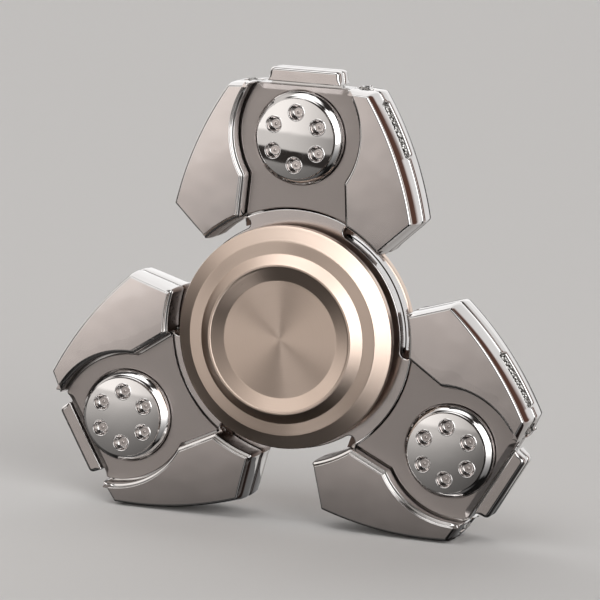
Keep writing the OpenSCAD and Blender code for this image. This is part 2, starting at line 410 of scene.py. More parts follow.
# %% The Wiring class
class Wiring:
    def __init__(self, tree):
        self.nodes, self.links = tree.nodes, tree.links

    def maths(self, operation, *values):
        """A Math node; each value is a number or another node's output."""
        node = self.nodes.new("ShaderNodeMath")
        node.operation = operation
        for socket, value in zip(node.inputs, values):
            if isinstance(value, (int, float)):
                socket.default_value = value
            else:
                self.links.new(value, socket)
        return node.outputs[0]

    def split(self, place):
        node = self.nodes.new("ShaderNodeSeparateXYZ")
        self.links.new(place, node.inputs[0])
        return node.outputs[0], node.outputs[1], node.outputs[2]

    def carried(self, value, start, end, low, high, kind="LINEAR"):
        """Carries start to end over onto low to high, and goes no further."""
        node = self.nodes.new("ShaderNodeMapRange")
        node.interpolation_type = kind
        for key, number in (("From Min", start), ("From Max", end), ("To Min", low), ("To Max", high)):
            node.inputs[key].default_value = number
        self.links.new(value, node.inputs["Value"])
        return node.outputs["Result"]

    def fade(self, value, dark, bright):
        """0 at dark and 1 at bright, with a soft start and end."""
        if dark < bright:
            return self.carried(value, dark, bright, 0.0, 1.0, "SMOOTHSTEP")
        return self.carried(value, bright, dark, 1.0, 0.0, "SMOOTHSTEP")

    def tinted(self, value, first, second):
        """The first colour where the value is 0 and the second where it is 1."""
        node = self.nodes.new("ShaderNodeMix")
        node.data_type = "RGBA"
        node.inputs[6].default_value = (*first, 1)
        node.inputs[7].default_value = (*second, 1)
        self.links.new(value, node.inputs[0])
        return node.outputs[2]


print("wiring can add:", [name for name in vars(Wiring) if not name.startswith("_")])

# %% [markdown]
# ## A metal to start from
# Eight finishes make the whole object. Each is the same metal shader with its own colour and
# roughness. Soft clouds vary both a little, because nothing that is polished by hand comes out
# even, and a faint bump gives the ripple of plating or the grain of blasting.


# %% The Metal class
class Metal(Wiring):
    def __init__(self, name, colour, roughness, anisotropy=0.0):
        self.material = bpy.data.materials.new(name)
        self.material.use_nodes = True
        super().__init__(self.material.node_tree)
        self.shader = self.nodes["Principled BSDF"]
        self.place = self.nodes.new("ShaderNodeTexCoord").outputs["Object"]
        self.set("Base Color", (*colour, 1))
        self.set("Metallic", 1.0)
        self.set("Roughness", roughness)
        self.set("Anisotropic", anisotropy)

    def set(self, name, value):
        self.shader.inputs[name].default_value = value

    def cloud(self, scale, detail, roughness):
        """Soft uneven patches; the scale is in patches to the metre."""
        node = self.nodes.new("ShaderNodeTexNoise")
        for key, value in (("Scale", scale), ("Detail", detail), ("Roughness", roughness)):
            node.inputs[key].default_value = value
        self.links.new(self.place, node.inputs["Vector"])
        return node.outputs["Fac"]

    def vary_roughness(self, source, smooth, dull):
        self.links.new(self.carried(source, 0.3, 0.7, smooth, dull), self.shader.inputs["Roughness"])

    def vary_colour(self, source, first, second):
        self.links.new(self.tinted(source, first, second), self.shader.inputs["Base Color"])

    def bump(self, source, strength, distance):
        node = self.nodes.new("ShaderNodeBump")
        node.inputs["Strength"].default_value = strength
        node.inputs["Distance"].default_value = distance
        self.links.new(source, node.inputs["Height"])
        self.links.new(node.outputs["Normal"], self.shader.inputs["Normal"])
        return node.outputs["Normal"]

    def done(self):
        print(self.material.name, "has", len(self.nodes), "nodes")
        return self.material


print("a metal can also:", [name for name in vars(Metal) if not name.startswith("_")])

# %% [markdown]
# ## Plated finishes
# The edges and walls of the castings are mirror bright, with the faint ripple that plating over a
# casting has. The wing faces are pearl: a soft plated ground under a clear, glossy skin, made with
# the coat. The keyhole plates are satin, with a fine blasted grain.

# %% Polished plating
metal = Metal("polished_plating", (0.66, 0.645, 0.635), 0.05)
clouds = metal.cloud(220, 3, 0.55)
metal.vary_roughness(clouds, 0.03, 0.08)
metal.vary_colour(clouds, (0.63, 0.61, 0.60), (0.69, 0.675, 0.665))
metal.bump(metal.cloud(130, 1.5, 0.4), 0.12, 0.0004)
PLATING = metal.done()

# %% Pearl plating
metal = Metal("pearl_plating", (0.58, 0.515, 0.49), 0.2)
clouds = metal.cloud(180, 3, 0.55)
metal.vary_roughness(clouds, 0.17, 0.25)
metal.vary_colour(clouds, (0.55, 0.49, 0.465), (0.61, 0.54, 0.515))
ripple = metal.bump(metal.cloud(110, 2, 0.5), 0.16, 0.0005)
metal.set("Coat Weight", 1.0)
metal.set("Coat IOR", 2.0)
metal.set("Coat Roughness", 0.03)
metal.links.new(ripple, metal.shader.inputs["Coat Normal"])
PEARL = metal.done()

# %% Satin plating
metal = Metal("satin_plating", (0.45, 0.405, 0.387), 0.36)
clouds = metal.cloud(160, 4, 0.6)
metal.vary_roughness(clouds, 0.32, 0.42)
metal.vary_colour(clouds, (0.42, 0.38, 0.363), (0.48, 0.43, 0.41))
metal.bump(metal.cloud(5200, 2, 0.6), 0.25, 0.00006)
SATIN = metal.done()

# %% [markdown]
# ## Polished, raw and dull metal
# The weights are polished harder than the castings. The middle frame is raw casting, pitted and
# sparkling: the pits are the cells of a Voronoi texture. The slits beside the collar are rough, and
# their dark colour is painted shade for the narrow gap that little light gets into.

# %% Polished weight metal
metal = Metal("polished_weight", (0.72, 0.70, 0.69), 0.045)
metal.vary_roughness(metal.cloud(400, 3, 0.5), 0.03, 0.07)
metal.bump(metal.cloud(300, 1, 0.4), 0.08, 0.0002)
WEIGHT = metal.done()

# %% Raw casting
metal = Metal("raw_casting", (0.6, 0.59, 0.57), 0.35)
pits = metal.nodes.new("ShaderNodeTexVoronoi")
pits.inputs["Scale"].default_value = 2600
metal.links.new(metal.place, pits.inputs["Vector"])
metal.vary_colour(metal.cloud(3200, 4, 0.7), (0.12, 0.115, 0.11), (0.95, 0.93, 0.9))
metal.bump(pits.outputs["Distance"], 1.0, 0.0003)
RAW = metal.done()

# %% Dull slot, darkened as painted shade
# The slit walls are rougher than the castings, and their dark colour is painted shade in the narrow slits.
metal = Metal("dull_slot_painted_shade", (0.16, 0.115, 0.095), 0.3)
clouds = metal.cloud(900, 4, 0.6)
metal.vary_roughness(clouds, 0.22, 0.4)
metal.vary_colour(clouds, (0.1, 0.07, 0.06), (0.24, 0.175, 0.145))
metal.bump(clouds, 0.3, 0.0001)
DULL_SHADED = metal.done()

# %% [markdown]
# ## Turned and ground metal
# The caps are turned, so their tool marks are rings: a tangent that runs round the axis stretches
# each highlight into a fan, and a very fine ripple goes by radius. The bearing and the stud are
# plain ground steel.

# %% Turned aluminium
metal = Metal("turned_aluminium", (0.74, 0.635, 0.555), 0.36, 0.95)
tangent = metal.nodes.new("ShaderNodeTangent")
tangent.direction_type, tangent.axis = "RADIAL", "Y"
metal.links.new(tangent.outputs["Tangent"], metal.shader.inputs["Tangent"])
x_place, _, z_place = metal.split(metal.place)
squares = metal.maths("MULTIPLY_ADD", z_place, z_place, metal.maths("MULTIPLY", x_place, x_place))
rings = metal.nodes.new("ShaderNodeTexNoise")
rings.noise_dimensions = "1D"
rings.inputs["Scale"].default_value = 5200
rings.inputs["Detail"].default_value = 3
metal.links.new(metal.maths("SQRT", squares), rings.inputs["W"])
metal.vary_roughness(rings.outputs["Fac"], 0.28, 0.35)
metal.vary_colour(rings.outputs["Fac"], (0.73, 0.585, 0.49), (0.77, 0.62, 0.525))
metal.bump(rings.outputs["Fac"], 0.2, 0.00002)
TURNED = metal.done()

# %% Bearing steel
metal = Metal("bearing_steel", (0.5, 0.5, 0.51), 0.22)
clouds = metal.cloud(500, 3, 0.5)
metal.vary_roughness(clouds, 0.16, 0.3)
metal.bump(clouds, 0.1, 0.00005)
STEEL = metal.done()

# %% [markdown]
# ## A wing
# Each arm has two wings, mirror images of each other. A wing's face is a slight cushion, its inner
# edges are crisp where they border the keyhole plate, and its long outer side is a full bullnose
# that rolls from the face down to the split line between the two castings. One outline with a
# varying edge profile gives all of that: a weight of 0 keeps the edge crisp, 1 gives the bullnose.


# %% The wing's outline
WING_TIP = (7.0, 35.45)
KEYHOLE_TOP = 35.24
WING_INNER_CORNER = (12.95, 12.6)


def lobe_arc(gap, top, bottom, steps=48):
    """Right-hand side arc of the keyhole's round end, from height top down to height bottom."""
    across, along, radius = LOBE_SIDE
    start, end = (math.degrees(math.asin((y - along) / (radius + gap))) for y in (top, bottom))
    return arc((-across, along), radius + gap, start, end, steps)


def wing_outline():
    kink, neck = (WAIST[0] + GAP, WAIST[1]), (NECK[0] + GAP, 16.2)
    keyhole = lobe_arc(GAP, KEYHOLE_TOP, WAIST[1])
    inner = arc((0, 0), WING_INNER, direction(neck), direction(WING_INNER_CORNER), 24)
    side = arc(SIDE_ARC[:2], SIDE_ARC[2], direction(SIDE_CORNER, SIDE_ARC), direction(TIP_CORNER, SIDE_ARC))
    parts = [line(WING_TIP, (WAIST[0], KEYHOLE_TOP)), keyhole, line(kink, neck), inner, side]
    corners = [(SIDE_CORNER, 0.35), (TIP_CORNER, 0.3), (inner[-1], 0.4), (neck, 0.2), (WING_TIP, 0.25)]
    return joined(parts, 0.28, corners)


WING = wing_outline()
print("a wing is", (WING.max(0) - WING.min(0)).round(1), "mm across")


# %% The wing's cushion
CUSHION_MIDDLE = (13.2, 25.0)
CUSHION_HALF = (4.6, 10.5)  # across and along the wing


def wing_hill(x, y):
    """A face bowed both ways, and leaning a little outwards."""
    dx, dy = x - CUSHION_MIDDLE[0], y - CUSHION_MIDDLE[1]
    across, along = 0.944 * dx + 0.33 * dy, -0.33 * dx + 0.944 * dy
    bow = 0.12 * (1 - (across / CUSHION_HALF[0]) ** 2) + 0.13 * (1 - (along / CUSHION_HALF[1]) ** 2)
    return WING_EDGE + 0.05 + bow - 0.075 * across


print("the wing's face is highest near", round(float(wing_hill(*CUSHION_MIDDLE)), 2), "mm")


# %% Where the edge rolls and where a window is cut
def off_side(loop):
    """Distance of each point from the wing's long outer side."""
    return np.abs(np.hypot(loop[:, 0] - SIDE_ARC[0], loop[:, 1] - SIDE_ARC[1]) - SIDE_ARC[2])


def edge_weight(loop):
    """1 along the outer side, 0 along the keyhole and the hub, in between at the ends."""
    x, y = loop[:, 0], loop[:, 1]
    side = np.clip(1.3 - off_side(loop) / 1.2, 0, 1)
    tip = (y > 34.4) & (x > 7.4)
    hub_side = (np.hypot(x, y) < 25.6) & (x > 13.3) & (off_side(loop) > 0.5)
    return softly(np.maximum(side, np.where(tip | hub_side, 0.8, 0)), 3)


def window_lift(loop):
    """1 where a window slot is cut into the wall at the split line."""
    x, y = loop[:, 0], loop[:, 1]
    in_side = (off_side(loop) < 0.3) & (y > 26.2) & (y < 33.7)
    in_tip = (y > 34.6) & (x > 7.3) & (x < 9.4)
    return softly((in_side | in_tip).astype(float), 0)


print("window points:", int(window_lift(WING).round().sum()), "of", len(WING))

# %% [markdown]
# ## Rolled and crisp edges
# The bullnose and the crisp edge are two lists of (inset, height) with the same number of steps.
# Going down either list walks over the edge, down the wall and under it to the split line. At each
# point of the outline the two are mixed by the edge weight. The first step lies on the face.

# %% Edge profiles
BULLNOSE = np.array([
    (0.72, 4.5), (0.66, 4.49), (0.6, 4.475), (0.54, 4.445), (0.48, 4.4), (0.43, 4.345), (0.39, 4.26),
    (0.345, 4.1), (0.28, 3.87), (0.205, 3.55), (0.14, 3.2), (0.08, 2.7), (0.035, 2.0), (0.0, 1.2),
    (0.03, 0.5), (0.15, 0.22), (0.4, 0.06), (1.6, 0.04)])
CRISP = np.array([
    (0.66, 4.5), (0.61, 4.49), (0.57, 4.47), (0.54, 4.43), (0.52, 4.36), (0.51, 4.2), (0.49, 4.02),
    (0.44, 3.95), (0.3, 3.92), (0.14, 3.9), (0.07, 3.85), (0.03, 3.74), (-0.01, 3.4), (-0.06, 2.6),
    (-0.1, 1.6), (-0.1, 0.3), (0.1, 0.06), (1.2, 0.04)])
FACE, CAST, SLIT_WALL = 1, 2, 3  # finishes of a casting, next to 0 for its walls
CUSHION_FOOT = 2.5  # below this height a wall doesn't follow the cushion
WINDOW_RISE, WINDOW_FADE = 1.3, 2.6
print("the bullnose rolls", BULLNOSE[0][0], "mm in from the wall")


# %% A cushioned face with its walls
def walled(piece, loop, hill, weight, lift):
    """A cushioned face with rolled edges and walls down to the split line."""
    out = outward(loop)
    rows = []
    for soft, hard in zip(BULLNOSE, CRISP):
        inset = soft[0] * weight + hard[0] * (1 - weight)
        xy = loop - out * inset[:, None]
        if rows:
            z = soft[1] * weight + hard[1] * (1 - weight)
            z = z + rise * np.clip((z - CUSHION_FOOT) / (WING_EDGE - CUSHION_FOOT), 0, 1)
            z = z + lift * WINDOW_RISE * np.clip(1 - z / WINDOW_FADE, 0, 1)
        else:
            top, z = xy, hill(*xy.T)
            rise = z - WING_EDGE
        rows.append(np.column_stack([xy, z]))
    p, m, f = sheet(rows)
    m[:len(loop)] = hill_normals(hill, *top.T)
    piece.add(p, m, f)
    piece.finish_of_face[-len(loop):] = [CAST] * len(loop)
    piece.add(*filled([top], hill, 0.55), FACE)


def on_slit_side(x, y, z):
    """True on the wing's wall where it faces the collar across the slit."""
    return math.hypot(x, y) < WING_INNER + 0.5 and z < 3.9 and x > NECK[0] + 0.5


right_wing = Piece("right_wing")
walled(right_wing, WING, wing_hill, edge_weight(WING), window_lift(WING))
# The wing's wall across the slit gets the dull metal, whose dark colour is painted shade.
right_wing.refinish(SLIT_WALL, on_slit_side)
print("one wing has", len(right_wing.faces), "faces")

# %% [markdown]
# ## Collar, arm floors and tip lugs
# Between the wings lies a floor that the plate rests on. Nearer the hub the casting closes into a
# collar, cut away from the wings by curved slits with round ends. Beyond the plate a small lug
# closes the arm. The collar's outline alternates between its own circle and the necks, with a
# hollow curve round each slit's end.

# %% Collar outline
SLIT_OUTER = WING_INNER - 0.02


def collar_outline(reach):
    """Circle of the collar with three necks out to reach, hollowed round the ends of the slits."""
    mid, radius = (COLLAR + SLIT_OUTER) / 2, (SLIT_OUTER - COLLAR) / 2
    across = SLIT_END + radius
    slit = np.array([across, math.sqrt(mid * mid - across * across)])
    down = direction(-slit)
    turn = 2 * math.degrees(math.asin(max(0.0, SLIT_OUTER - reach) / (2 * radius)))
    hollow = arc(slit, radius, down, down - 180 + turn, 24)
    neck_edge = direction(hollow[-1])
    neck = arc((0, 0), reach, neck_edge, 180 - neck_edge, 40)
    slit_turn = math.degrees(math.asin(across / mid))
    rim = arc((0, 0), COLLAR, 90 + slit_turn, 210 - slit_turn, 60)
    third = np.vstack([hollow, neck, mirrored(hollow), rim])
    return joined([third @ arm_turn(k)[:2, :2].T for k in range(3)], 0.3)


COLLAR_LOOP = collar_outline(WING_INNER - 0.17)
FLOOR_LOOP = collar_outline(WING_INNER + 0.1)
print("collar outline has", len(COLLAR_LOOP), "points")

# %% Plain walled plates
HOLE_EDGE = 0.1


def slab(piece, loop, top, bottom, edge, holes=(), spacing=0.9, under=0.0, finish=0):
    """A flat-topped plate with a small eased edge; holes are (centre, radius). The walls turn under
    by the last measure but one, and the last is the finish of the face."""
    out = outward(loop)
    steps = [(edge, top), (edge * 0.62, top - edge * 0.08), (edge * 0.3, top - edge * 0.3),
             (edge * 0.08, top - edge * 0.62), (0, top - edge), (0, (top + bottom) / 2), (0, bottom + under),
             (under * 0.3, bottom + under * 0.3), (under, bottom), (under + 1.2, bottom)]
    rows = [np.column_stack([loop - out * i, np.full(len(loop), z)]) for i, z in steps]
    piece.add(*sheet(rows))
    if under:
        piece.finish_of_face[-len(loop):] = [CAST] * len(loop)
    rims = []
    for centre, radius in holes:
        rims.append(arc(centre, radius + HOLE_EDGE, 0, 360, 97)[:-1])
        lip = [(radius + HOLE_EDGE * part, top - HOLE_EDGE * drop)
               for part, drop in ((1, 0), (0.4, 0.2), (0.1, 0.6), (0, 1))]
        piece.add(*shifted(turned([*lip, (radius, bottom)], 96, flip=True), *centre))
    piece.add(*filled([rows[0][:, :2], *rims], level(top), spacing), finish)


trial = Piece("trial")
slab(trial, joined([square], 0.5), 1.0, 0.0, 0.1)
print("a small square slab has", len(trial.faces), "faces")


# %% Arm floor and lug outlines
def arm_floor_outline():
    half = [line((0, 17.0), (8.7, 17.0)), line((8.7, 17.0), (8.3, 22.4)),
            lobe_arc(GAP + 0.8, 22.4, 35.2), line((7.9, 35.3), (0, 35.3))]
    return joined([*half, mirrored(np.vstack(half))], 0.4)


def lug_outline():
    half, foot, top = 5.4, 35.6, TIP_REACH
    left, right = (0.25 - half, top), (half - 0.25, top)
    return joined([line((-half, foot), (half, foot)), line(right, left)], 0.15, [(right, 0.7), (left, 0.7)])


LUG_LOOP = lug_outline()
print("a lug is", (LUG_LOOP.max(0) - LUG_LOOP.min(0)).round(1), "mm across")

# %% The lug
LUG_TOP = 2.0
LUG_ROLLED = [(0.5, LUG_TOP), (0.36, 1.97), (0.22, 1.88), (0.1, 1.72), (0.03, 1.5), (0, 1.2), (0, 0.5),
              (0.05, 0.22), (0.15, 0.05), (1.0, 0.03)]
LUG_CRISP = [(0.12, LUG_TOP), (0.08, 1.99), (0.04, 1.96), (0.02, 1.92), (0, 1.88), (0, 1.2), (0, 0.5),
             (0.03, 0.22), (0.08, 0.05), (0.6, 0.03)]


def lug(piece):
    """A low block with a rolled outer edge, its face a little below the plate."""
    weight = softly(np.clip((LUG_LOOP[:, 1] - 35.75) / 0.5, 0, 1), 2)
    out = outward(LUG_LOOP)
    rows = []
    for soft, hard in zip(LUG_ROLLED, LUG_CRISP):
        inset, z = (soft[i] * weight + hard[i] * (1 - weight) for i in (0, 1))
        rows.append(np.column_stack([LUG_LOOP - out * inset[:, None], z]))
    piece.add(*sheet(rows))
    piece.add(*filled([rows[0][:, :2]], level(LUG_TOP), 0.6), FACE)


print("the lug's edge rolls", LUG_ROLLED[0][0], "mm in")

# %% [markdown]
# ## The two castings
# A casting is six wings, the collar with its bearing boss, three floors and three lugs. The collar
# wall stops short of the split line, which leaves the dark slot between the two halves. The front
# casting is the pattern and the rear one is the same casting turned over.

# %% One arm
one_arm = Piece("one_arm")
one_arm.placed(right_wing, np.eye(3))
one_arm.placed(right_wing, MIRROR)
slab(one_arm, arm_floor_outline(), FLOOR_TOP, 0.1, 0.05)
lug_floor = joined([line((-5.2, 35.0), (5.2, 35.0)), line((5.2, 36.0), (-5.2, 36.0))], 0.4)
slab(one_arm, lug_floor, 0.8, 0.1, 0.05)
lug(one_arm)
print("one arm has", len(one_arm.faces), "faces")


# %% The collar
def in_slit(x, y, z):
    """True on the collar's wall where it faces a wing across the slit."""
    from_arm = abs((math.degrees(math.atan2(x, y)) + 60) % 120 - 60)
    at_side = 22 < from_arm < 47 and COLLAR - 0.3 < math.hypot(x, y) < WING_INNER - 0.35
    return at_side and z < PLATE_TOP - 0.15


collar = Piece("collar")
slab(collar, COLLAR_LOOP, PLATE_TOP, 0.9, 0.16, [((0, 0), 12.9)], 1.2, 0.14, FACE)
# The collar's wall across the slit gets the dull metal, whose dark colour is painted shade.
collar.refinish(SLIT_WALL, in_slit)
print("the collar has", collar.finish_of_face.count(SLIT_WALL), "dull faces")

# %% Both castings
casting = Piece("casting")
for k in range(3):
    casting.placed(one_arm, arm_turn(k))
casting.placed(collar, np.eye(3))
slab(casting, FLOOR_LOOP, FLOOR_TOP, 0.3, 0.05, [((0, 0), 14.0)], 1.5)
boss = eased([(11.0, 0.6), (11.0, 3.4), (13.0, 3.4), (13.0, 2.3)], 0.25)
casting.add(*turned(boss, 144, True))
for side, turn in SIDES.items():
    shell = Piece(f"{side}_casting")
    shell.placed(casting, turn)
    shell.make("frame", [PLATING, PEARL, RAW, DULL_SHADED], "polished_casting", f"{side}_shell")

# %% [markdown]
# ## Keyhole plates
# The six satin plates drop into the recesses between the wings. Their round hole hugs the weight's
# flange, and a hair-line gap shows all round them. A wide bevel runs across the tip end, so that
# the plate slopes down to the lug.


# %% Plate outline
def plate_outline():
    neck = (NECK[0], math.sqrt(WING_INNER**2 - NECK[0] ** 2))
    side = lobe_arc(0, PLATE_END, WAIST[1], 40)[::-1]
    tip = side[-1]
    right = np.vstack([line(neck, WAIST), side, line(tip, (0, PLATE_END))])
    hub_end = arc((0, 0), WING_INNER, 180 - direction(neck), direction(neck), 40)
    return joined([right, mirrored(right), hub_end], 0.25, [(tip, 0.2), (tip * np.array([-1, 1]), 0.2)])


PLATE_LOOP = plate_outline()
print("a plate is", (PLATE_LOOP.max(0) - PLATE_LOOP.min(0)).round(1), "mm across")

# %% The plate's edges, its tip bevel and its hole
PLATE_EDGE = [(0.15, PLATE_TOP), (0.09, 2.338), (0.045, 2.305), (0.012, 2.257), (0.0, 2.2), (0.0, 1.9),
              (0.0, FLOOR_TOP)]
TIP_BEVEL = [(0.82, PLATE_TOP), (0.76, 2.338), (0.68, 2.295), (0.12, 1.9), (0.04, 1.83), (0.0, 1.74),
             (0.0, FLOOR_TOP)]
PLATE_HOLE = 6.66


def plate_sheets(piece):
    """The plate's edge, broken by a hair, with a wide bevel across its tip end."""
    x, y = PLATE_LOOP[:, 0], PLATE_LOOP[:, 1]
    tip = softly(((y > PLATE_END - 0.05) & (np.abs(x) < 6.3)).astype(float), 2)
    out = outward(PLATE_LOOP)
    rows = []
    for plain, bevel in zip(PLATE_EDGE, TIP_BEVEL):
        inset, z = (bevel[i] * tip + plain[i] * (1 - tip) for i in (0, 1))
        rows.append(np.column_stack([PLATE_LOOP - out * inset[:, None], z]))
    piece.add(*sheet(rows))
    lip = [(PLATE_HOLE + 0.1, PLATE_TOP), (PLATE_HOLE + 0.04, PLATE_TOP - 0.02),
           (PLATE_HOLE, PLATE_TOP - 0.1), (PLATE_HOLE, FLOOR_TOP)]
    piece.add(*shifted(turned(lip, 96, flip=True), 0, ARM_REACH))
    rim = arc((0, ARM_REACH), PLATE_HOLE + 0.1, 0, 360, 97)[:-1]
    piece.add(*filled([rows[0][:, :2], rim], level(PLATE_TOP), 0.9))


plate = Piece("plate")
plate_sheets(plate)
for side, turn in SIDES.items():
    for arm, k in ARMS.items():
        p = Piece(f"{side}_face_plate_{arm}")
        p.placed(plate, arm_turn(k) @ turn)
        p.make("frame", [SATIN], "satin_plate", f"{side}_plate_{arm}")

# %% [markdown]
# ## Round weights
# A weight is turned: a flange, a sloping side with a polished band, then a shallow dome. Six
# dimples are drilled into the dome on a circle, one of them pointing out along the arm. Each
# dimple has a raised lip, a steep wall and a small round pit at the bottom, which is what makes it
# sparkle. The dome is filled round the six lips, and the dimples are turned surfaces set into them.

# %% The weight's profile and its dimples
DOME_EDGE = 5.62
DOME_TOP, DOME_RADIUS = 4.86, 46.0
DIMPLES = arc((0, 0), 3.71, 90, 390, 6)
LIP = 1.24
FLANGE = [(6.6, 1.6), (6.6, 3.0), (6.55, 3.15), (6.3, 3.42), (6.0, 3.67), (5.72, 3.84), (5.66, 3.9),
          (5.64, 4.34)]
DIMPLE_WALL = [(LIP, 0.0), (1.19, 0.035), (1.13, 0.02), (1.08, -0.08), (0.98, -0.42), (0.8, -0.72),
               (0.66, -0.86), (0.62, -0.88)]
DIMPLE_PIT = [(0.62, -0.88), (0.4, -0.885), (0.2, -0.885), (0.16, -0.87), (0.1, -0.8), (0.004, -0.78)]
print("a dimple is", round(2 * LIP, 2), "mm wide")


# %% One dimple
def dome(x, y):
    return DOME_TOP - (x * x + y * y) / (2 * DOME_RADIUS)


def dimple(piece, x, y):
    """A wall whose lip follows the dome, and a pit with the softer finish."""
    base = float(dome(x, y))
    piece.add(*shifted(turned(DIMPLE_PIT, 40, True), x, y, base), FACE)
    p, m, f = shifted(turned(eased(DIMPLE_WALL, 0.05, 3), 40, True), x, y, base)
    on_lip = np.hypot(p[:, 0] - x, p[:, 1] - y) > LIP - 1e-3
    p[on_lip, 2] = dome(p[on_lip, 0], p[on_lip, 1])
    piece.add(p, m, f)


print("the dome falls", round(DOME_TOP - dome(DOME_EDGE, 0), 2), "mm to its edge")


# %% Six weights
def one_weight():
    w = Piece("weight")
    rim = (DOME_EDGE, dome(DOME_EDGE, 0.0))
    w.add(*turned(eased([*FLANGE, rim], 0.1)[::-1], 128))
    edge = arc((0, 0), DOME_EDGE, 0, 360, 129)[:-1]
    lips = [arc(c, LIP, 0, 360, 41)[:-1] for c in DIMPLES]
    w.add(*filled([edge, *lips], dome, 0.42))
    for x, y in DIMPLES:
        dimple(w, x, y)
    return w


weight = one_weight()
for side, turn in SIDES.items():
    for arm, k in ARMS.items():
        p = Piece(f"{side}_dimpled_weight_{arm}")
        p.placed(weight, arm_turn(k) @ turn, (0, ARM_REACH, 0))
        p.make("frame", [WEIGHT, PEARL], "polished_weight", f"{side}_weight_{arm}")

# %% [markdown]
# ## Finger caps
# The caps are one lathe profile: a dished middle, a raised rim, a bevel down to a flat ring, a
# second bevel to the thin outer edge and a flat underside with the post that runs into the
# bearing. Their corners are broken by a hair so that each one catches a bright line.

# %% Turn the caps
CAP = [(0.004, 7.2), (8.3, 7.2), (8.42, 7.22), (10.2, 7.62), (10.32, 7.7), (10.6, 7.7), (10.7, 7.62),
       (12.0, 6.52), (13.75, 6.5), (15.62, 5.32), (15.8, 5.2), (15.8, 4.1), (15.6, 3.9), (5.6, 3.86),
       (5.6, 3.5), (3.98, 3.5), (3.98, 0.1), (0.3, 0.1)]


def in_short_steps(profile, longest):
    """The same profile with points added, so that no step is much longer than asked."""
    out = []
    for a, b in zip(profile[:-1], profile[1:]):
        count = max(1, int(np.linalg.norm(b - a) / longest))
        out += [a + (b - a) * t for t in np.linspace(0, 1, count, endpoint=False)]
    return [*out, profile[-1]]


cap = Piece("cap")
cap.add(*turned(in_short_steps(eased(CAP, 0.06, 3), 0.8), 256))
for side, turn in SIDES.items():
    c = Piece(f"{side}_finger_cap")
    c.placed(cap, turn)
    c.make("hub", [TURNED], "turned_aluminium", f"{side}_cap")

# %% [markdown]
# ## Middle frame
# Between the two castings sits a flat frame that was never polished. It shows in the window slots
# as a sparkling strip, so its edge needs real lumps: every point of the edge is pushed in or out
# by a smooth noise, which is the same on each run.

# %% A raw plate
CORE_HALF = 1.0
LUMP_HEIGHT, LUMP_SIZE = 0.16, 0.3


def lumps(points):
    return np.array([LUMP_HEIGHT * cast_noise.noise(Vector(p) / LUMP_SIZE) for p in points])


def raw_plate(piece, loop, inset, count, holes=()):
    """A plate as thick as the middle frame, with a lumpy edge and plain holes."""
    out = outward(loop)
    rows = []
    for z in np.linspace(CORE_HALF, -CORE_HALF, count):
        xy = loop - out * inset
        bumps = lumps(np.column_stack([xy, np.full(len(xy), z)]))
        rows.append(np.column_stack([xy + out * bumps[:, None], np.full(len(xy), z)]))
    piece.add(*sheet(rows))
    for centre, radius in holes:
        piece.add(*shifted(turned([(radius, CORE_HALF), (radius, -CORE_HALF)], 96, True), *centre))
    rims = [arc(centre, radius, 0, 360, 97)[:-1] for centre, radius in holes]
    p, m, f = filled([rows[0][:, :2], *rims], level(CORE_HALF), 1.2)
    piece.add(p, m, f)
    p, m, f = filled([rows[-1][:, :2], *rims], level(-CORE_HALF), 1.2)
    piece.add(p, -m, [t[::-1] for t in f])


print("the middle frame is", 2 * CORE_HALF, "mm thick")

# %% The middle frame
BORE = 11.05
core = Piece("middle_frame")
wing_core = Piece("wing_core")
raw_plate(wing_core, evenly(WING, 0.2), 1.15, 11)
neck_core = Piece("neck_core")
neck_box = joined([line((-5.7, 13.6), (5.7, 13.6)), line((5.7, 34.2), (-5.7, 34.2))], 0.5)
raw_plate(neck_core, neck_box, 0.0, 5, [((0, ARM_REACH), 5.25)])
for k in range(3):
    core.placed(wing_core, arm_turn(k))
    core.placed(wing_core, arm_turn(k) @ MIRROR)
    core.placed(neck_core, arm_turn(k))
raw_plate(core, arc((0, 0), 14.2, 0, 360, 361)[:-1], 0.0, 9, [((0, 0), BORE)])
core.make("frame", [RAW], "rough_casting", "core_frame")

# %% [markdown]
# ## Parts kept from the exact model
# The bearing and the stud keep their exact shapes. They only need their metal, ground steel.

# %% Give the kept parts their metal
for name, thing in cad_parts.items():
    if not name.startswith(("bearing", "ball", "cap_stud")):
        continue
    thing.data.materials.clear()
    thing.data.materials.append(STEEL)
    print(name, "->", STEEL.name)

# %% [markdown]
# ## Camera
# The camera stands a little to the right of the front face and slightly above the hub, with a long
# lens, so the right-hand walls of the arms show. The three vectors are its right, its up and its
# backward direction.

# %% Place the camera
CAMERA_AT = Vector((0.1970, -0.5588, 0.0978))
right, up = Vector((0.9398, 0.3386, 0.0457)), Vector((-0.0952, 0.1309, 0.9868))
back = right.cross(up).normalized()
up = back.cross(right).normalized()
lens = bpy.data.cameras.new("camera")
lens.lens, lens.sensor_width = 255.0, 36.0
lens.clip_start, lens.clip_end = 0.01, 50
camera = bpy.data.objects.new("camera", lens)
scene = bpy.context.scene
scene.collection.objects.link(camera)
camera.matrix_world = Matrix((*zip(right, up, back, CAMERA_AT), (0, 0, 0, 1)))
scene.camera = camera
scene.view_settings.view_transform = "Standard"
scene.view_settings.look = "None"
print("camera looks along", [round(-v, 3) for v in back])

# %% [markdown]
# ## The floor
# The floor is one wide pale sheet of matt paper. Reflections don't see it, because it would fill
# the whole underside of every polished curve with plain white.


# %% Floor
def plain_surface(name, colour, roughness, specular):
    m = bpy.data.materials.new(name)
    m.use_nodes = True
    shader = m.node_tree.nodes["Principled BSDF"]
    shader.inputs["Base Color"].default_value = (*colour, 1)
    shader.inputs["Roughness"].default_value = roughness
    shader.inputs["Specular IOR Level"].default_value = specular
    return m


